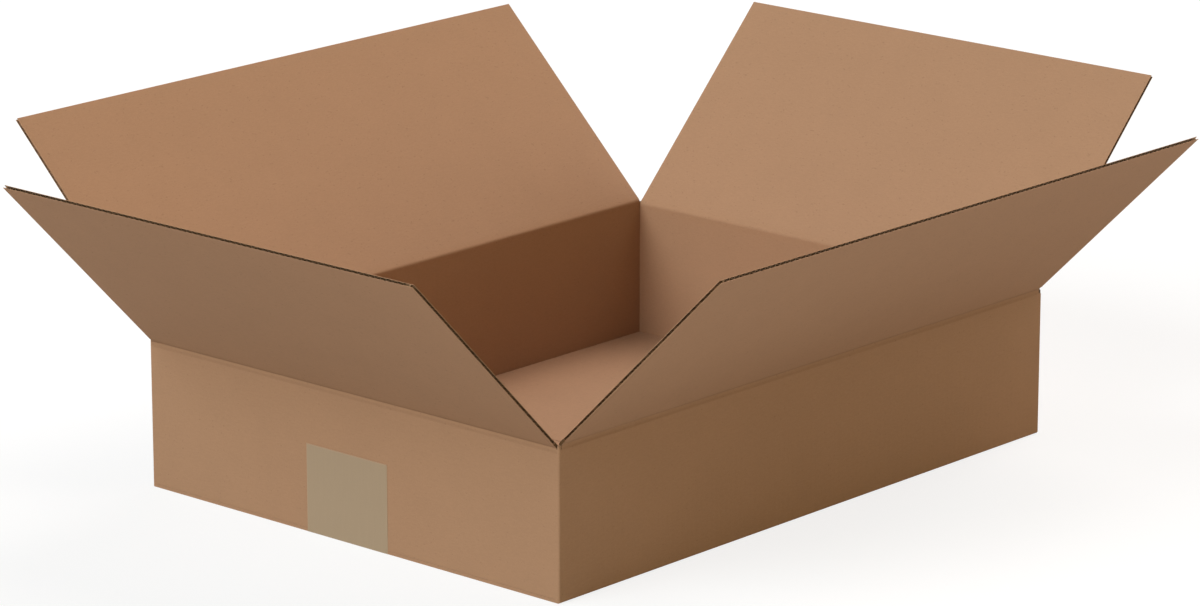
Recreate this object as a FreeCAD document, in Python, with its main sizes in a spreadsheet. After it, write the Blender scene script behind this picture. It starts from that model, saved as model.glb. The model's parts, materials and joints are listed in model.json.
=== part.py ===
import FreeCAD, Part

# Open corrugated cardboard box: a shallow regular slotted carton, standing upright
# with its four top flaps splayed outwards and its bottom taped shut.
# Millimetres. The origin is on the floor below the middle of the box,
# with the long walls along X, the short walls along Y, and Z up.

import os

import Sketcher

# Driving dimensions

SIZES = {
    # Outer walls, measured over the board
    "box_length": 340.0,
    "box_width": 254.0,
    # Height of the fold between the walls and the top flaps
    "fold_height": 71.0,
    # Corrugated board: its caliper, its two liners and the fluted medium between them
    "board": 1.5,
    "liner": 0.2,
    "medium": 0.2,
    "flute_pitch": 3.3,
    # How deep the cut edges are open
    "flute_mouth": 5.0,
    "side_channel": 1.6,
    # Top flaps, from the fold to the cut edge
    "flap_depth": 125.5,
    # Lean outwards from upright, of the flaps on the long walls and on the short walls
    "side_lean_angle": 45.4,
    "end_lean_angle": 44.5,
    # The furthest lean outwards, which sets the slope on top of the walls
    "furthest_angle": 120.0,
    # Scored folds: how far the score is pressed into each face, and how far it reaches
    # from the fold into wall and flap
    "score_depth": 0.3,
    "score_reach": 2.2,
    # Running gaps at the folds, beside the flaps and between the two bottom layers
    "fold_gap": 0.1,
    "slot_gap": 0.1,
    "layer_gap": 0.1,
    # Gap where the bottom flaps meet in the middle
    "seam_gap": 0.8,
    # Outside radius of the folded corners and of the folds under the long walls
    "corner_radius": 1.0,
    # Glue tab inside the box at the closing corner
    "tab_length": 30.0,
    "tab_taper": 8.0,
    "tab_headroom": 3.0,
    # Depth of the notch beside the raw end of the closing panel
    "joint_notch": 0.7,
    # Packing tape along the bottom seam and up both short walls
    "tape_width": 50.0,
    "tape_rise": 41.6,
    "tape_film": 0.12,
    "tape_offset": 1.0,
    "tape_play": 0.1,
}

doc = FreeCAD.newDocument("open_cardboard_box")
sheet = doc.addObject("Spreadsheet::Sheet", "sizes")
for row, (alias, value) in enumerate(SIZES.items(), start=1):
    sheet.set(f"A{row}", alias)
    sheet.set(f"B{row}", str(value))
    sheet.setAlias(f"B{row}", alias)
doc.recompute()

# Expressions that several pieces share

LENGTH = "sizes.box_length"
WIDTH = "sizes.box_width"
BOARD = "sizes.board"
HALF_BOARD = "sizes.board / 2"
INNER_X = "(sizes.box_length / 2 - sizes.board)"
INNER_Y = "(sizes.box_width / 2 - sizes.board)"
# The end flaps fold in first, so their fold lies one board lower than the side flaps'
END_FOLD_Z = "(sizes.fold_height - (sizes.board + sizes.fold_gap) / 2)"
SIDE_FOLD_Z = "(sizes.fold_height + (sizes.board + sizes.fold_gap) / 2)"
# Bottom: the side flaps lie outside, the end flaps inside on top of them
UPPER_LAYER_Z = "(sizes.board + sizes.layer_gap)"
FLOOR_Z = "(2 * sizes.board + sizes.layer_gap)"
# Flaps end at the inner face of the walls beside them
END_FLAP_WIDTH = "(sizes.box_width - 2 * (sizes.board + sizes.slot_gap))"
SIDE_FLAP_WIDTH = "(sizes.box_length - 2 * (sizes.board + sizes.slot_gap))"
# Where the board is pressed thin at a fold, and where it is whole again
ROOT_RADIUS = "(sizes.board / 2 - sizes.score_depth)"
SCORE_END = "(sizes.score_reach + sizes.score_depth)"
# Top of a wall below a flap's rounded root: level inside, sloping down outside
SHELF_DROP = f"({ROOT_RADIUS} + sizes.fold_gap)"
LIP_SLOPE = "tan(sizes.furthest_angle * 1deg - 90deg)"
LIP_START_DROP = f"({SHELF_DROP} / cos(sizes.furthest_angle * 1deg - 90deg))"
LIP_DROP = f"({LIP_START_DROP} + {ROOT_RADIUS} * {LIP_SLOPE})"
# Half the open width of a flute at a cut edge; the rest is medium on its way across
HALF_MOUTH = "(0.4 * sizes.flute_pitch)"
# How far a cutting outline reaches past the board
BEYOND = "5"


def origin_feature(body, role):
    """One of the body's own base planes or axes."""
    for feature in body.Origin.OriginFeatures:
        if feature.Role == role:
            return feature
    raise RuntimeError(f"{body.Label} has no {role}")


def outline(body, name, plane, loops, offset=None):
    """A sketch of closed loops whose corners are each held by two expressions."""
    sketch = body.newObject("Sketcher::SketchObject", name)
    sketch.AttachmentSupport = [(origin_feature(body, plane), "")]
    sketch.MapMode = "FlatFace"
    if offset:
        sketch.setExpression("AttachmentOffset.Base.z", offset)
    first = 0
    for loop in loops:
        corners = len(loop)
        for index in range(corners):
            # Any open fan of lines will do: the constraints put each corner in its place
            start = FreeCAD.Vector(index, index * index, 0)
            end = FreeCAD.Vector(index + 1, (index + 1) ** 2, 0)
            sketch.addGeometry(Part.LineSegment(start, end))
        for index in range(corners):
            following = first + (index + 1) % corners
            sketch.addConstraint(Sketcher.Constraint("Coincident", first + index, 2, following, 1))
        for index, place in enumerate(loop):
            for kind, expression in zip(("DistanceX", "DistanceY"), place):
                constraint = Sketcher.Constraint(kind, -1, 1, first + index, 1, 1.0 + index)
                number = sketch.addConstraint(constraint)
                sketch.setExpression(f"Constraints[{number}]", expression)
        first += corners
    return sketch


def rectangle(left, bottom, right, top):
    return [(left, bottom), (right, bottom), (right, top), (left, top)]


def pad(body, name, sketch, length, midplane=False):
    feature = body.newObject("PartDesign::Pad", name)
    feature.Profile = sketch
    feature.setExpression("Length", length)
    feature.Midplane = midplane
    doc.recompute()
    return feature


def pocket(body, name, sketch, length, midplane=False, reverse=False):
    """Cuts away a sketch's area, and stops the script if nothing was cut."""
    before = body.Shape.Volume
    feature = body.newObject("PartDesign::Pocket", name)
    feature.Profile = sketch
    feature.setExpression("Length", length)
    feature.Midplane = midplane
    feature.Reversed = reverse
    doc.recompute()
    if not body.Shape.Volume < before:
        raise RuntimeError(f"{name} cut nothing from {body.Label}")
    return feature


def mirror(body, name, originals, plane):
    feature = body.newObject("PartDesign::Mirrored", name)
    feature.Originals = originals
    feature.MirrorPlane = (origin_feature(body, plane), [""])
    body.Tip = feature
    doc.recompute()
    return feature


def edge_names(shape, wanted):
    """Names of the straight edges whose two ends both pass a test."""
    names = []
    for number, edge in enumerate(shape.Edges, start=1):
        ends = [vertex.Point for vertex in edge.Vertexes]
        if len(ends) == 2 and wanted(*ends):
            names.append(f"Edge{number}")
    return names


def near(a, b):
    return abs(a - b) < 0.001


# Tray: four walls and four bottom flaps, folded from one sheet


def add_walls(body):
    """A ring of wall, with three rounded corners and the closing joint at the fourth."""
    outer = rectangle(f"-{LENGTH} / 2", f"-{WIDTH} / 2", f"{LENGTH} / 2", f"{WIDTH} / 2")
    inner = rectangle(f"-{INNER_X}", f"-{INNER_Y}", INNER_X, INNER_Y)
    ring = outline(body, "wall_ring_outline", "XY_Plane", [outer, inner])
    walls = pad(body, "wall_ring", ring, SIDE_FOLD_Z)

    half_length = SIZES["box_length"] / 2
    half_width = SIZES["box_width"] / 2

    def folded_corner(start, end):
        upright = not near(start.z, end.z)
        at_corner = near(abs(start.x), half_length) and near(abs(start.y), half_width)
        closing = start.x > 0 and start.y < 0
        return upright and at_corner and not closing

    def fold_under_long_wall(start, end):
        along_length = near(start.y, end.y) and near(abs(start.y), half_width)
        return along_length and near(start.z, 0) and near(end.z, 0)

    def rounded(start, end):
        return folded_corner(start, end) or fold_under_long_wall(start, end)

    corners = body.newObject("PartDesign::Fillet", "folded_corners")
    corners.Base = (walls, edge_names(walls.Shape, rounded))
    corners.setExpression("Radius", "sizes.corner_radius")
    doc.recompute()


def wall_top(face, axis_height):
    """The area above and beside a wall's scored top, seen along the wall, outer face at -face."""
    middle = f"(-{face} + {HALF_BOARD})"
    shelf = f"({axis_height} - {SHELF_DROP})"
    lip_start = f"(({LIP_START_DROP} - {SHELF_DROP}) / {LIP_SLOPE})"
    thin = f"({axis_height} - sizes.score_reach)"
    whole = f"({axis_height} - {SCORE_END})"
    inside = f"(-{face} + {BEYOND})"
    outside = f"(-{face} - {BEYOND})"
    above = f"({axis_height} + {BEYOND})"
    return [
        (inside, whole),
        (f"(-{face} + {BOARD})", whole),
        (f"({middle} + {ROOT_RADIUS})", thin),
        (f"({middle} + {ROOT_RADIUS})", shelf),
        (f"({middle} + {lip_start})", shelf),
        (f"({middle} - {ROOT_RADIUS})", f"({axis_height} - {LIP_DROP})"),
        (f"({middle} - {ROOT_RADIUS})", thin),
        (f"(-{face})", whole),
        (outside, whole),
        (outside, above),
        (inside, above),
    ]


def shape_wall_tops(body):
    half_length = f"({LENGTH} / 2)"
    half_width = f"({WIDTH} / 2)"
    long_top = outline(body, "long_wall_top_outline", "YZ_Plane", [wall_top(half_width, SIDE_FOLD_Z)])
    long_cut = pocket(body, "long_wall_top", long_top, f"{LENGTH} + {BEYOND}", midplane=True)
    mirror(body, "long_wall_tops", [long_cut], "XZ_Plane")
    short_top = outline(body, "short_wall_top_outline", "XZ_Plane", [wall_top(half_length, END_FOLD_Z)])
    short_cut = pocket(body, "short_wall_top", short_top, f"2 * {INNER_Y}", midplane=True)
    mirror(body, "short_wall_tops", [short_cut], "YZ_Plane")


def add_bottom(body):
    """Side flaps below, end flaps on top of them, each pair meeting in the middle."""
    lower = rectangle(f"-{INNER_X}", f"-{INNER_Y}", INNER_X, INNER_Y)
    pad(body, "lower_flaps", outline(body, "lower_flaps_outline", "XY_Plane", [lower]), BOARD)

    side = f"({INNER_Y} - sizes.layer_gap)"
    upper = rectangle(f"-{INNER_X}", f"-{side}", INNER_X, side)
    upper_sketch = outline(body, "upper_flaps_outline", "XY_Plane", [upper], offset=UPPER_LAYER_Z)
    pad(body, "upper_flaps", upper_sketch, BOARD)

    past_end = f"({LENGTH} / 2 + {BEYOND})"
    gap = rectangle(f"-{past_end}", BOARD, past_end, UPPER_LAYER_Z)
    pocket(body, "layer_gap", outline(body, "layer_gap_outline", "XZ_Plane", [gap]),
           f"2 * {side}", midplane=True)

    half_seam = "sizes.seam_gap / 2"
    seam = rectangle(f"-{past_end}", f"-{half_seam}", past_end, half_seam)
    pocket(body, "lower_seam", outline(body, "lower_seam_outline", "XY_Plane", [seam]),
           BOARD, reverse=True)

    cross = rectangle(f"-{half_seam}", f"-{side}", half_seam, side)
    cross_sketch = outline(body, "upper_seam_outline", "XY_Plane", [cross], offset=UPPER_LAYER_Z)
    pocket(body, "upper_seam", cross_sketch, BOARD, reverse=True)


def add_closing_joint(body):
    """The glue tab inside, and the raw end of the panel that covers its fold."""
    foot = f"({FLOOR_Z} + sizes.layer_gap)"
    head = f"({END_FOLD_Z} - sizes.tab_headroom)"
    root = f"({INNER_X} + {HALF_BOARD})"
    end = f"({INNER_X} - sizes.tab_length)"
    tab = [
        (root, foot),
        (end, f"({foot} + sizes.tab_taper)"),
        (end, f"({head} - sizes.tab_taper)"),
        (root, head),
    ]
    # The XZ plane looks along -Y, so its offset has the opposite sign
    tab_sketch = outline(body, "glue_tab_outline", "XZ_Plane", [tab], offset=f"{INNER_Y} - {BOARD}")
    pad(body, "glue_tab", tab_sketch, BOARD)

    face_x = f"({LENGTH} / 2)"
    # The notch bites a little into the closing panel, whose raw end so stands free
    bite = f"-({INNER_Y} + sizes.joint_notch / 4)"
    notch = [
        (face_x, bite),
        (f"({face_x} + {BEYOND})", bite),
        (f"({face_x} + {BEYOND})", f"-({INNER_Y} - sizes.joint_notch)"),
        (face_x, f"-({INNER_Y} - sizes.joint_notch)"),
        (f"({face_x} - sizes.joint_notch)", f"-{INNER_Y}"),
    ]
    notch_sketch = outline(body, "joint_notch_outline", "XY_Plane", [notch], offset=UPPER_LAYER_Z)
    pocket(body, "joint_notch", notch_sketch, SIDE_FOLD_Z, reverse=True)

    channel = rectangle(
        f"({face_x} - sizes.side_channel)",
        f"-({WIDTH} / 2 - sizes.liner)",
        f"({face_x} + {BEYOND})",
        f"-({INNER_Y} + sizes.liner)",
    )
    channel_foot = f"({BOARD} + {SCORE_END})"
    channel_sketch = outline(body, "raw_end_outline", "XY_Plane", [channel], offset=channel_foot)
    pocket(body, "raw_end", channel_sketch,
           f"{SIDE_FOLD_Z} - {SCORE_END} - {channel_foot}", reverse=True)


def press_tape_seat(body):
    """The soft board gives below the tape, so tape and board stand on one level."""
    half = "(sizes.tape_width / 2 + sizes.tape_play)"
    past_end = f"({LENGTH} / 2 + {BEYOND})"
    seat = rectangle(f"-{past_end}", f"(sizes.tape_offset - {half})",
                     past_end, f"(sizes.tape_offset + {half})")
    pocket(body, "tape_seat", outline(body, "tape_seat_outline", "XY_Plane", [seat]),
           "sizes.tape_film", reverse=True)


def make_tray():
    body = doc.addObject("PartDesign::Body", "tray")
    add_walls(body)
    shape_wall_tops(body)
    add_bottom(body)
    add_closing_joint(body)
    press_tape_seat(body)
    return body


# Top flaps: one board each, hinged on the fold at the top of its wall


def flute_mouth_outline(width):
    """The openings on both sides of the medium, at the first flute from the flap's side."""
    inside = f"({HALF_BOARD} - sizes.liner)"
    crest = f"({inside} - sizes.medium)"
    first = f"(sizes.flute_pitch - {width} / 2)"
    second = f"({first} + sizes.flute_pitch / 2)"

    def opening(middle, base, tip):
        sides = [f"({middle} - {HALF_MOUTH})", f"({middle} + {HALF_MOUTH})"]
        return [(sides[0], base), (sides[1], base), (middle, tip)]

    return [opening(first, f"-{inside}", crest), opening(second, inside, f"-{crest}")]


def make_flap(name, width, lean, facing, place_x, place_y, fold_z):
    """A flap upright over its fold along X, turned to its wall and leaned outwards."""
    body = doc.addObject("PartDesign::Body", name)
    half_width = f"{width} / 2"
    panel = [
        (f"-{ROOT_RADIUS}", "0"),
        (ROOT_RADIUS, "0"),
        (ROOT_RADIUS, "sizes.score_reach"),
        (HALF_BOARD, SCORE_END),
        (HALF_BOARD, "sizes.flap_depth"),
        (f"-{HALF_BOARD}", "sizes.flap_depth"),
        (f"-{HALF_BOARD}", SCORE_END),
        (f"-{ROOT_RADIUS}", "sizes.score_reach"),
    ]
    pad(body, f"{name}_panel", outline(body, f"{name}_panel_outline", "YZ_Plane", [panel]),
        width, midplane=True)

    root = body.newObject("PartDesign::AdditiveCylinder", f"{name}_root")
    root.AttachmentSupport = [(origin_feature(body, "YZ_Plane"), "")]
    root.MapMode = "FlatFace"
    root.setExpression("AttachmentOffset.Base.z", f"-{half_width}")
    root.setExpression("Radius", ROOT_RADIUS)
    root.setExpression("Height", width)
    doc.recompute()

    channel = rectangle(f"-({HALF_BOARD} - sizes.liner)", SCORE_END,
                        f"({HALF_BOARD} - sizes.liner)", f"(sizes.flap_depth + {BEYOND})")
    channel_sketch = outline(body, f"{name}_side_outline", "YZ_Plane", [channel], offset=half_width)
    side = pocket(body, f"{name}_side", channel_sketch, "sizes.side_channel")
    mirror(body, f"{name}_sides", [side], "YZ_Plane")

    mouths = outline(body, f"{name}_mouth_outline", "XY_Plane", flute_mouth_outline(width),
                     offset="sizes.flap_depth")
    mouth = pocket(body, f"{name}_mouth", mouths, "sizes.flute_mouth")
    row = body.newObject("PartDesign::LinearPattern", f"{name}_mouths")
    row.Originals = [mouth]
    row.Direction = (origin_feature(body, "X_Axis"), [""])
    # One flute is left whole at either side
    flutes = f"floor({width} / sizes.flute_pitch) - 2"
    row.setExpression("Occurrences", flutes)
    row.setExpression("Length", f"({flutes} - 1) * sizes.flute_pitch")
    body.Tip = row

    turn = f"rotationz({facing}) * rotationx({lean})"
    body.setExpression("Placement", f"placement(vector({place_x}; {place_y}; {fold_z}); {turn})")
    doc.recompute()
    return body


# Packing tape: one strip, up the left wall, along the bottom seam and up the right wall


def make_tape():
    body = doc.addObject("PartDesign::Body", "bottom_tape")
    inner = f"({LENGTH} / 2)"
    outer = f"({inner} + sizes.tape_film)"
    strip = [
        (f"-{outer}", "0"),
        (outer, "0"),
        (outer, "sizes.tape_rise"),
        (inner, "sizes.tape_rise"),
        (inner, "sizes.tape_film"),
        (f"-{inner}", "sizes.tape_film"),
        (f"-{inner}", "sizes.tape_rise"),
        (f"-{outer}", "sizes.tape_rise"),
    ]
    sketch = outline(body, "tape_outline", "XZ_Plane", [strip], offset="-sizes.tape_offset")
    pad(body, "tape_strip", sketch, "sizes.tape_width", midplane=True)
    return body


END_AXIS_X = f"({LENGTH} / 2 - {HALF_BOARD})"
SIDE_AXIS_Y = f"({WIDTH} / 2 - {HALF_BOARD})"
SIDE_LEAN = "sizes.side_lean_angle"
END_LEAN = "sizes.end_lean_angle"

pieces = [
    make_tray(),
    make_tape(),
    make_flap("flap_front", SIDE_FLAP_WIDTH, SIDE_LEAN, 0, "0", f"-{SIDE_AXIS_Y}", SIDE_FOLD_Z),
    make_flap("flap_back", SIDE_FLAP_WIDTH, SIDE_LEAN, 180, "0", SIDE_AXIS_Y, SIDE_FOLD_Z),
    make_flap("flap_left", END_FLAP_WIDTH, END_LEAN, -90, f"-{END_AXIS_X}", "0", END_FOLD_Z),
    make_flap("flap_right", END_FLAP_WIDTH, END_LEAN, 90, END_AXIS_X, "0", END_FOLD_Z),
]

# Check, then write each piece to its own file

doc.recompute()
for item in doc.Objects:
    if "Invalid" in item.State or "Error" in item.State:
        raise RuntimeError(f"{item.Name} failed: {item.State}")
os.makedirs("parts", exist_ok=True)
for piece in pieces:
    shape = piece.Shape
    if shape.isNull() or not shape.isValid():
        raise RuntimeError(f"{piece.Label} has no valid shape")
    if len(shape.Solids) != 1:
        raise RuntimeError(f"{piece.Label} is {len(shape.Solids)} solids, not one")
    shape.exportStep(f"parts/{piece.Label}.step")
    box = shape.BoundBox
    print(f"{piece.Label}: volume {shape.Volume:.1f}, faces {len(shape.Faces)},"
          f" x {box.XMin:.2f} to {box.XMax:.2f}, y {box.YMin:.2f} to {box.YMax:.2f},"
          f" z {box.ZMin:.2f} to {box.ZMax:.2f}")
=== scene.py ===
import json
import math

import bmesh
import bpy
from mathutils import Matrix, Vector


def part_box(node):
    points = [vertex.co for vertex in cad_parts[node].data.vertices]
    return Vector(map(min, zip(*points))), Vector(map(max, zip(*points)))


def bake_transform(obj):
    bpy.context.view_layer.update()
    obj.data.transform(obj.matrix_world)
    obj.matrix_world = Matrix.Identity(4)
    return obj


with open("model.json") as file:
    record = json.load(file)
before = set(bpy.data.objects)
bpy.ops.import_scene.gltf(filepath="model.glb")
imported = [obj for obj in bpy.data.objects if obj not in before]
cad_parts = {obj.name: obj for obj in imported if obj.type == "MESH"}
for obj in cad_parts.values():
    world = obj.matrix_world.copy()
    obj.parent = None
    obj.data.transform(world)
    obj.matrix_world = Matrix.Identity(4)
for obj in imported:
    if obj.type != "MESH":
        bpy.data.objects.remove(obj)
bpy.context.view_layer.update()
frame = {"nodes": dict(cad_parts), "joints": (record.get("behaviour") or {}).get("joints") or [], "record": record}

# An open corrugated cardboard box with its four top flaps leaning outwards.
# Metres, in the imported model's frame: Z up, the taped short wall facing -X.

MM = 0.001

# Corrugated board: its caliper, the half thickness of its core between its two liners (drawn dark as painted
# shade of the hollow flutes), the spacing of its flutes, and how far from a fold the pressed score ends
BOARD = 1.5 * MM
CORE_HALF = 0.565 * MM
FLUTE_PITCH = 3.3 * MM
SCORE_END = 2.45 * MM
# How far in from a cut the core counts as open: at the sides of a flap, and at the end of the sheet
FLAP_CUT = 2.2 * MM
SHEET_CUT = 2.5 * MM

# Linear colours
KRAFT = (0.38, 0.215, 0.125)
# The core: painted shade for its hollow flutes, and the paler paper of its torn shreds
CORE_SHADE = (0.1, 0.054, 0.024)
CORE_TORN = (0.36, 0.22, 0.125)
TAPE = (0.334, 0.25, 0.162)
WHITE = (1.0, 1.0, 1.0)

# Kraft paper: what its clouds, fibres and grain add to its tone, and how far that varies
CLOUDS_SHARE = 0.25
FIBRES_SHARE = 0.4
GRAIN_SHARE = 0.35
TONE_VARIATION = 0.045
PAPER_RELIEF = 0.009 * MM


# Shader nodes


def shade(colour, factor=1.0):
    return tuple(channel * factor for channel in colour) + (1.0,)


class Shader:
    """Adds the nodes of one material, or of the world, and joins them."""

    def __init__(self, owner):
        owner.use_nodes = True
        self.owner = owner
        self.tree = owner.node_tree
        self.tree.nodes.clear()

    def node(self, kind, inputs=None, **settings):
        node = self.tree.nodes.new(kind)
        for key, value in settings.items():
            setattr(node, key, value)
        for key, value in (inputs or {}).items():
            self.feed(node.inputs[key], value)
        return node

    def feed(self, socket, value):
        if isinstance(value, bpy.types.NodeSocket):
            self.tree.links.new(value, socket)
        else:
            socket.default_value = value

    def math(self, operation, *values):
        node = self.node("ShaderNodeMath", operation=operation)
        for socket, value in zip(node.inputs, values):
            self.feed(socket, value)
        return node.outputs[0]

    def object_point(self):
        return self.node("ShaderNodeTexCoord").outputs["Object"]

    def flap_point(self, fold):
        """The point in a flap's own frame: X along the fold, Y through the board, Z up from the fold."""
        node = self.node("ShaderNodeMapping", {"Vector": self.object_point()}, vector_type="TEXTURE")
        node.inputs["Location"].default_value = fold.place
        node.inputs["Rotation"].default_value = (fold.lean, 0.0, fold.facing)
        return node.outputs[0]

    def stretched(self, point, scale):
        node = self.node("ShaderNodeMapping", {"Vector": point})
        node.inputs["Scale"].default_value = scale
        return node.outputs[0]

    def split(self, vector):
        return self.node("ShaderNodeSeparateXYZ", {0: vector}).outputs

    def noise(self, vector, scale, detail=2.0, roughness=0.5):
        wanted = {"Vector": vector, "Scale": scale, "Detail": detail, "Roughness": roughness}
        return self.node("ShaderNodeTexNoise", wanted).outputs["Fac"]

    def spread(self, value, low, high, to_low=0.0, to_high=1.0):
        """Maps a value from low..high to a new range, held at its ends."""
        node = self.node("ShaderNodeMapRange")
        for socket, number in zip(node.inputs, (value, low, high, to_low, to_high)):
            self.feed(socket, number)
        return node.outputs[0]

    def mix(self, share, first, second):
        node = self.node("ShaderNodeMix", data_type="RGBA")
        self.feed(node.inputs[0], share)
        self.feed(node.inputs[6], first)
        self.feed(node.inputs[7], second)
        return node.outputs[2]

    def mix_light(self, share, first, second):
        return self.node("ShaderNodeMixShader", {0: share, 1: first.outputs[0], 2: second.outputs[0]})

    def seen(self):
        """1 for what is looked at, also in a mirror or through glass, and 0 for light on the box."""
        rays = self.node("ShaderNodeLightPath").outputs
        indirect = self.math("MAXIMUM", rays["Is Glossy Ray"], rays["Is Transmission Ray"])
        return self.math("MAXIMUM", rays["Is Camera Ray"], indirect)

    def surface(self, **inputs):
        shader = self.node("ShaderNodeBsdfPrincipled", inputs)
        self.node("ShaderNodeOutputMaterial", {"Surface": shader.outputs[0]})


# Kraft board


def kraft_colour(shader, point):
    """Brown paper: soft clouds, fibres that lie across the flutes, fine grain and dark flecks.

    Gives its colour, and its grain and fibres for the relief.
    """
    clouds = shader.noise(point, 45.0, detail=3.0)
    fibres = shader.noise(shader.stretched(point, (420.0, 420.0, 1500.0)), 1.0, detail=2.0)
    grain = shader.noise(point, 1300.0, detail=1.0)
    tone = shader.math("ADD", shader.math("MULTIPLY", clouds, CLOUDS_SHARE),
                       shader.math("MULTIPLY", fibres, FIBRES_SHARE))
    tone = shader.math("ADD", tone, shader.math("MULTIPLY", grain, GRAIN_SHARE))
    paper = shader.mix(shader.spread(tone, 0.35, 0.65),
                       shade(KRAFT, 1 - TONE_VARIATION), shade(KRAFT, 1 + TONE_VARIATION))
    fleck_spots = shader.noise(shader.stretched(point, (700.0, 700.0, 1100.0)), 1.0, detail=0.0)
    flecks = shader.spread(fleck_spots, 0.75, 0.84, 0.0, 0.28)
    return shader.mix(flecks, paper, shade(KRAFT, 0.55)), grain, fibres


def paper_relief(shader, grain, fibres, across):
    """Grain and fibres, and the faint washboard of the flutes below the liner."""
    angle = shader.math("MULTIPLY", across, 2 * math.pi / FLUTE_PITCH)
    washboard = shader.math("MULTIPLY", shader.math("SINE", angle), 0.35)
    height = shader.math("ADD", shader.math("ADD", grain, fibres), washboard)
    bump = shader.node("ShaderNodeBump", {"Height": height, "Strength": 1.0, "Distance": PAPER_RELIEF})
    return bump.outputs[0]


def flap_board(fold):
    """Board of one flap, with its open core at the cuts painted dark as the shade in its hollow flutes."""
    shader = Shader(bpy.data.materials.new(f"{fold.flap}_board"))
    local = shader.flap_point(fold)
    colour, grain, fibres = kraft_colour(shader, local)
    along, through, depth = shader.split(local)
    in_core = shader.math("LESS_THAN", shader.math("ABSOLUTE", through), CORE_HALF)
    whole_board = shader.math("GREATER_THAN", depth, SCORE_END)
    core_shade = shader.math("MULTIPLY", in_core, whole_board)
    # Cut along the flutes, the core is torn: pale shreds of paper between gaps of painted shade
    at_side = shader.math("GREATER_THAN", shader.math("ABSOLUTE", along), fold.width / 2 - FLAP_CUT)
    shreds = shader.noise(shader.stretched(local, (200.0, 200.0, 900.0)), 1.0, detail=1.0)
    torn = shader.math("MULTIPLY", at_side, shader.spread(shreds, 0.4, 0.6, 0.2, 1.0))
    fluting = shader.mix(torn, shade(CORE_SHADE), shade(CORE_TORN))
    shader.surface(**{
        "Base Color": shader.mix(core_shade, colour, fluting),
        "Roughness": 0.88,
        "Specular IOR Level": 0.25,
        "Normal": paper_relief(shader, grain, fibres, along),
    })
    return shader.owner


def fold_board(fold):
    """Board at a fold: like the flap's, with painted shade darkening it along the lines that the score pressed in.
    """
    shader = Shader(bpy.data.materials.new(f"{fold.flap}_fold"))
    local = shader.flap_point(fold)
    colour, grain, fibres = kraft_colour(shader, local)
    painted_crease_shade = shader.node("ShaderNodeAttribute", attribute_name="painted_crease_shade").outputs["Fac"]
    shader.surface(**{
        # Painted shade: darker kraft along the pressed score lines stands in for their shading
        "Base Color": shader.mix(painted_crease_shade, colour, shade(KRAFT, 0.25)),
        "Roughness": 0.9,
        "Specular IOR Level": 0.2,
        "Normal": paper_relief(shader, grain, fibres, shader.split(local)[0]),
    })
    return shader.owner


def wall_board():
    """Board of the walls and the bottom, with its open core at the end of the near long wall painted dark as the
    shade in its hollow flutes.
    """
    shader = Shader(bpy.data.materials.new("wall_board"))
    point = shader.object_point()
    colour, grain, fibres = kraft_colour(shader, point)
    x, y, _ = shader.split(point)
    # The flutes stand upright in the walls, so their washboard runs along each wall
    normal = shader.node("ShaderNodeNewGeometry").outputs["True Normal"]
    facing_x, facing_y, facing_z = shader.split(normal)
    long_wall = shader.math("GREATER_THAN", shader.math("ABSOLUTE", facing_y),
                            shader.math("ABSOLUTE", facing_x))
    underside = shader.math("LESS_THAN", facing_z, -0.5)
    along_x = shader.math("MAXIMUM", long_wall, underside)
    across = shader.math("ADD", shader.math("MULTIPLY", x, along_x),
                         shader.math("MULTIPLY", y, shader.math("SUBTRACT", 1.0, along_x)))
    low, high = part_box("tray")
    from_middle = shader.math("ABSOLUTE", shader.math("SUBTRACT", y, low.y + BOARD / 2))
    in_core = shader.math("LESS_THAN", from_middle, CORE_HALF)
    at_end = shader.math("GREATER_THAN", x, high.x - SHEET_CUT)
    shader.surface(**{
        "Base Color": shader.mix(shader.math("MULTIPLY", in_core, at_end), colour, shade(CORE_SHADE)),
        "Roughness": 0.88,
        "Specular IOR Level": 0.25,
        "Normal": paper_relief(shader, grain, fibres, across),
    })
    return shader.owner


def cut_core_shade():
    """Painted shade of the hollow core where board is cut across a fold."""
    shader = Shader(bpy.data.materials.new("cut_core_shade"))
    grain = shader.noise(shader.object_point(), 900.0, detail=2.0)
    shader.surface(**{
        "Base Color": shader.mix(grain, shade(CORE_SHADE, 0.7), shade(CORE_SHADE, 1.5)),
        "Roughness": 0.95,
        "Specular IOR Level": 0.2,
    })
    return shader.owner


# Packing tape

# The teeth that its ends are torn off against, and the width of the painted highlight along its edges
TEAR_PITCH = 1.4 * MM
TEAR_DEPTH = 0.5 * MM
TAPE_HIGHLIGHT = 0.35 * MM
TAPE_RELIEF = 0.05 * MM


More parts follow.
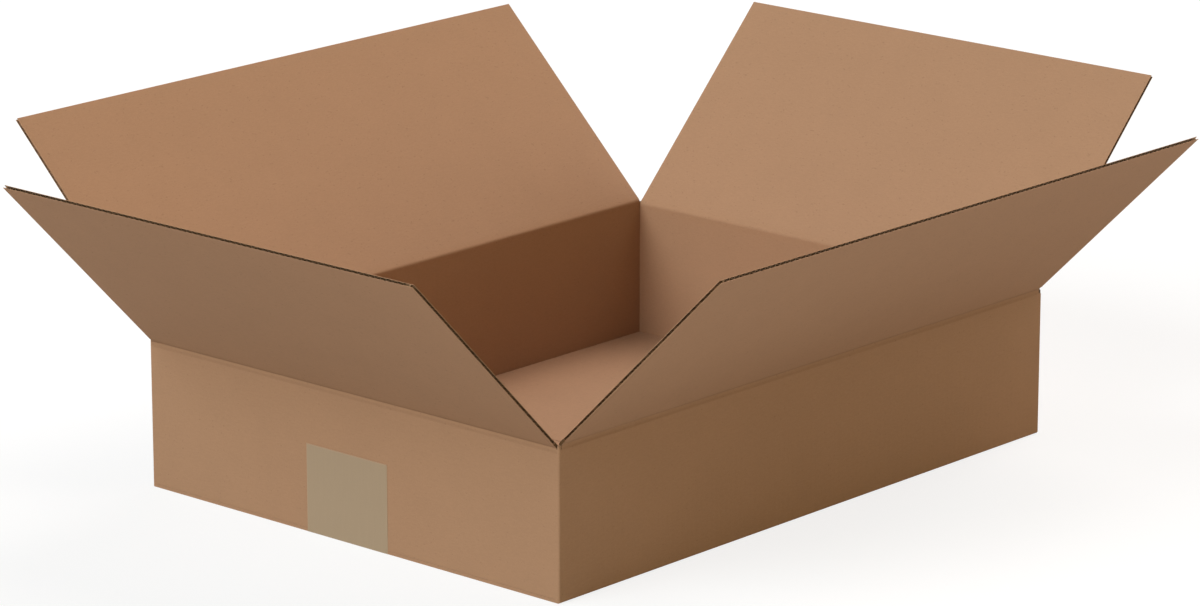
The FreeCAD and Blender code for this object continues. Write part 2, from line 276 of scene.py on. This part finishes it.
def tape_film():
    """Thin matt film, drawn slightly uneven over the board, whose fibres show faintly through."""
    shader = Shader(bpy.data.materials.new("tape_film"))
    point = shader.object_point()
    paper, grain, _ = kraft_colour(shader, point)
    streaks = shader.noise(shader.stretched(point, (60.0, 900.0, 60.0)), 1.0, detail=3.0)
    film = shader.mix(streaks, shade(TAPE, 0.96), shade(TAPE, 1.04))
    low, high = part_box("bottom_tape")
    _, y, z = shader.split(point)
    from_middle = shader.math("ABSOLUTE", shader.math("SUBTRACT", y, (low.y + high.y) / 2))
    teeth = shader.math("MULTIPLY", shader.math("PINGPONG", y, TEAR_PITCH / 2),
                        2 * TEAR_DEPTH / TEAR_PITCH)
    tear = shader.math("ADD", high.z - TEAR_DEPTH, teeth)
    off_film = shader.math("GREATER_THAN", z, tear)
    # Painted highlight: the film is lighter along its sides and torn ends, as if their edges caught the light
    at_side = shader.math("GREATER_THAN", from_middle, (high.y - low.y) / 2 - TAPE_HIGHLIGHT)
    at_tear = shader.math("GREATER_THAN", z, shader.math("SUBTRACT", tear, TAPE_HIGHLIGHT))
    painted_highlight_edge = shader.math("MAXIMUM", at_side, at_tear)
    film = shader.mix(shader.math("MULTIPLY", painted_highlight_edge, 0.8), film, shade(TAPE, 1.16))
    creases = shader.noise(shader.stretched(point, (40.0, 130.0, 40.0)), 1.0, detail=2.0)
    height = shader.math("ADD", creases, shader.math("MULTIPLY", grain, 0.05))
    bump = shader.node("ShaderNodeBump", {"Height": height, "Strength": 1.0, "Distance": TAPE_RELIEF})
    shader.surface(**{
        "Base Color": shader.mix(shader.math("MAXIMUM", 0.15, off_film), film, paper),
        "Roughness": 0.42,
        "Specular IOR Level": 0.4,
        "Normal": bump.outputs[0],
    })
    return shader.owner


# Folds: the crushed board between each wall and its flap

# Thickness of the sheet at its distances below and above the fold, in millimetres.
# Its inner face stays level, and the score presses in the outer one.
FOLD_STATIONS = [
    (-2.9, 1.54), (-2.5, 1.535), (-2.15, 1.46), (-1.8, 1.41), (-1.4, 1.4), (-1.0, 1.43),
]
FOLD_MIDDLE = 1.42
# How dark painted shade makes the outer liner at its distances below and above the fold, in millimetres, in place
# of the shading of the pressed score
CREASE_SHADE = [
    (-2.9, 0.0), (-2.5, 0.1), (-1.9, 0.14), (-1.2, 0.03), (-0.3, 0.03), (0.5, 0.22), (1.1, 0.13), (2.2, 0.0),
]
# Radius of the bend at the middle of the sheet in millimetres, and its number of turns
BEND_RADIUS = 1.5
BEND_STEPS = 6
SMOOTH_ANGLE = math.radians(35)
# How far the ends of the strip stand out
END_PLAY = 0.04 * MM


class Fold:
    """Where a flap turns: its hinge, the way it opens, and its lean outwards at rest."""

    def __init__(self, joint):
        self.joint = joint
        self.flap = frame["record"]["behaviour"]["bodies"][joint["child"]][0]
        self.side = self.flap.split("_")[1]
        self.place = Vector(joint["pos_m"])
        outward = Vector((self.place.x, self.place.y, 0.0)).normalized()
        self.facing = math.atan2(outward.x, -outward.y)
        # The hinge's lower limit is the flap closed flat, a right angle inwards from upright
        self.lean = math.radians(-joint["range_deg"][0] - 90)
        self.up_flap = outward * math.sin(self.lean) + Vector((0, 0, math.cos(self.lean)))
        low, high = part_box(self.flap)
        self.width = abs((high - low).dot(Vector(joint["axis"])))


def bend_heights(lean):
    """Heights in millimetres where the sheet turns, so that wall and flap meet in the axis."""
    turn = lean / BEND_STEPS
    step = 2 * BEND_RADIUS * math.tan(turn / 2)
    chord = step * math.sin((BEND_STEPS - 1) * turn / 2) / math.sin(turn / 2)
    first = -chord / 2 / math.cos(lean / 2)
    return [first + number * step for number in range(BEND_STEPS)]


def crease_shade_at(height):
    """Painted shade on the outer liner at one height, in millimetres."""
    for (low, dark), (high, next_dark) in zip(CREASE_SHADE, CREASE_SHADE[1:]):
        if low <= height <= high:
            return dark + (next_dark - dark) * (height - low) / (high - low)
    return 0.0


def deselect_all():
    bpy.ops.object.select_all(action="DESELECT")


def select_above(obj, height):
    """In edit mode: selects what lies above a height, in millimetres."""
    mesh = bmesh.from_edit_mesh(obj.data)
    for vertex in mesh.verts:
        vertex.select_set(vertex.co.z > height * MM)
    mesh.select_flush(True)
    mesh.select_flush(False)
    bmesh.update_edit_mesh(obj.data)


def flat_strip(name, width, stations):
    """An upright strip of board over X, drawn up from station to station."""
    deselect_all()
    bottom, thickness = stations[0]
    inner_face = thickness / 2 * MM
    bpy.ops.mesh.primitive_plane_add(size=1.0, location=(0.0, 0.0, bottom * MM))
    strip = bpy.context.object
    strip.name = name
    bpy.ops.object.transform_apply(location=True, rotation=True, scale=True)
    bpy.ops.object.mode_set(mode="EDIT")
    bpy.ops.mesh.select_all(action="SELECT")
    bpy.ops.transform.resize(value=(width, thickness * MM, 1.0), center_override=(0, 0, bottom * MM))
    for height, next_thickness in stations[1:]:
        bpy.ops.mesh.extrude_region_move(
            TRANSFORM_OT_translate={"value": (0.0, 0.0, (height - bottom) * MM)})
        bpy.ops.transform.resize(value=(1.0, next_thickness / thickness, 1.0),
                                 center_override=(0, inner_face, height * MM))
        bottom, thickness = height, next_thickness
    bpy.ops.object.mode_set(mode="OBJECT")
    return strip


def mark_crease_shade(strip):
    """Notes how much painted shade darkens the outer liner of a flat strip at each of its points."""
    painted_crease_shade = strip.data.attributes.new("painted_crease_shade", "FLOAT", "POINT")
    for number, vertex in enumerate(strip.data.vertices):
        outer = vertex.co.y < 0
        painted_crease_shade.data[number].value = crease_shade_at(vertex.co.z / MM) if outer else 0.0


def bend(strip, heights, turn):
    """Turns what lies above each height outwards, from the highest line down."""
    bpy.ops.object.mode_set(mode="EDIT")
    for height in reversed(heights):
        select_above(strip, height + 0.001)
        bpy.ops.transform.rotate(value=-turn, orient_axis="X", orient_type="GLOBAL",
                                 center_override=(0, 0, height * MM))
    bpy.ops.mesh.select_all(action="SELECT")
    bpy.ops.mesh.normals_make_consistent(inside=False)
    bpy.ops.object.mode_set(mode="OBJECT")


def fold_strip(fold, board, core_shade):
    """One bent strip of board, modelled over X and then turned to its wall."""
    heights = bend_heights(fold.lean)
    upper = [(-height, thickness) for height, thickness in reversed(FOLD_STATIONS)]
    stations = FOLD_STATIONS + [(height, FOLD_MIDDLE) for height in heights] + upper
    strip = flat_strip(f"fold_{fold.side}", fold.width + END_PLAY, stations)
    mark_crease_shade(strip)
    bend(strip, heights, fold.lean / BEND_STEPS)

    # Its two ends show the core, in painted shade
    strip.data.materials.append(board)
    strip.data.materials.append(core_shade)
    for face in strip.data.polygons:
        face.material_index = 1 if abs(face.normal.x) > 0.9 else 0

    strip.rotation_euler = (0.0, 0.0, fold.facing)
    strip.location = fold.place
    bpy.ops.object.transform_apply(location=True, rotation=True, scale=True)
    bpy.ops.object.shade_smooth_by_angle(angle=SMOOTH_ANGLE)

    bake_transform(strip)


# The box itself


def dress_node(name, material):
    node = frame["nodes"][name]
    for slot in node.material_slots:
        slot.material = material


def dress_box():
    core_shade = cut_core_shade()
    dress_node("tray", wall_board())
    dress_node("bottom_tape", tape_film())
    for joint in frame["joints"]:
        fold = Fold(joint)
        dress_node(fold.flap, flap_board(fold))
        fold_strip(fold, fold_board(fold), core_shade)


# Floor and background

FLOOR_SIZE = 12.0
FLOOR_DROP = 0.1 * MM
# Seen, the floor is a white glow over a darker paint that takes the shadow of the box
FLOOR_GLOW = 0.8
FLOOR_SHADOW = 0.2
# For the light that it throws back onto the box, it is grey
FLOOR_BOUNCE = 0.58


def add_floor():
    deselect_all()
    bpy.ops.mesh.primitive_plane_add(size=FLOOR_SIZE, location=(0.0, 0.0, -FLOOR_DROP))
    floor = bpy.context.object
    floor.name = "floor"
    shader = Shader(bpy.data.materials.new("white_floor"))
    bounce = shader.node("ShaderNodeBsdfDiffuse", {"Color": shade(WHITE, FLOOR_BOUNCE)})
    shadow = shader.node("ShaderNodeBsdfDiffuse", {"Color": shade(WHITE, FLOOR_SHADOW)})
    glow = shader.node("ShaderNodeEmission", {"Color": shade(WHITE), "Strength": FLOOR_GLOW})
    shown = shader.node("ShaderNodeAddShader", {0: glow.outputs[0], 1: shadow.outputs[0]})
    paint = shader.mix_light(shader.seen(), bounce, shown)
    shader.node("ShaderNodeOutputMaterial", {"Surface": paint.outputs[0]})
    floor.data.materials.append(shader.owner)


def add_world():
    """A white background that sheds no light on the box."""
    world = bpy.data.worlds.new("studio")
    bpy.context.scene.world = world
    shader = Shader(world)
    dark = shader.node("ShaderNodeBackground", {"Color": shade(WHITE), "Strength": 0.0})
    white = shader.node("ShaderNodeBackground", {"Color": shade(WHITE), "Strength": 1.0})
    backdrop = shader.mix_light(shader.seen(), dark, white)
    shader.node("ShaderNodeOutputWorld", {"Surface": backdrop.outputs[0]})


# Lamps: name, azimuth and height in degrees, strength and colour.
# An azimuth runs from the taped wall towards the back flap.
LAMPS = [
    ("key", 20, 40, 1.8, (0.83, 0.94, 1.0)),
    ("left_high", 0, 40, 1.05, (1.0, 1.0, 1.0)),
    ("left_low", 0, 15, 0.4, (1.0, 0.87, 0.4)),
    ("right_high", 180, 60, 1.45, (1.0, 0.86, 0.78)),
    ("right_low", 180, 15, 2.3, (1.0, 1.0, 1.0)),
    ("fill", -90, 10, 0.4, (1.0, 0.84, 0.3)),
    ("fill_right", -150, 20, 0.6, (1.0, 0.84, 0.52)),
]
LAMP_WIDTH = math.radians(40)


def add_lamp(name, azimuth, height, strength, colour):
    """A far, wide lamp."""
    data = bpy.data.lights.new(name, "SUN")
    data.angle = LAMP_WIDTH
    data.energy = strength
    data.color = colour
    lamp = bpy.data.objects.new(name, data)
    bpy.context.scene.collection.objects.link(lamp)
    turn, rise = math.radians(azimuth), math.radians(height)
    towards = Vector((-math.cos(turn) * math.cos(rise), math.sin(turn) * math.cos(rise), math.sin(rise)))
    lamp.rotation_euler = towards.to_track_quat("Z", "Y").to_euler()


# Camera of the photograph: its place, what it looks at, and its lens in millimetres
CAMERA_PLACE = Vector((-1.750177, -1.564116, 0.727935))
CAMERA_AIM = Vector((0.007123, 0.008062, 0.073221))
CAMERA_LENS = 156.641
SENSOR_WIDTH = 36.0
CAMERA_REACH = 50.0


def add_camera():
    data = bpy.data.cameras.new("camera")
    data.lens = CAMERA_LENS
    data.sensor_width = SENSOR_WIDTH
    data.clip_end = CAMERA_REACH
    camera = bpy.data.objects.new("camera", data)
    bpy.context.scene.collection.objects.link(camera)
    camera.location = CAMERA_PLACE
    camera.rotation_euler = (CAMERA_AIM - CAMERA_PLACE).to_track_quat("-Z", "Y").to_euler()
    bpy.context.scene.camera = camera


dress_box()
add_floor()
add_world()
for lamp in LAMPS:
    add_lamp(*lamp)
add_camera()
bpy.context.scene.view_settings.view_transform = "Standard"
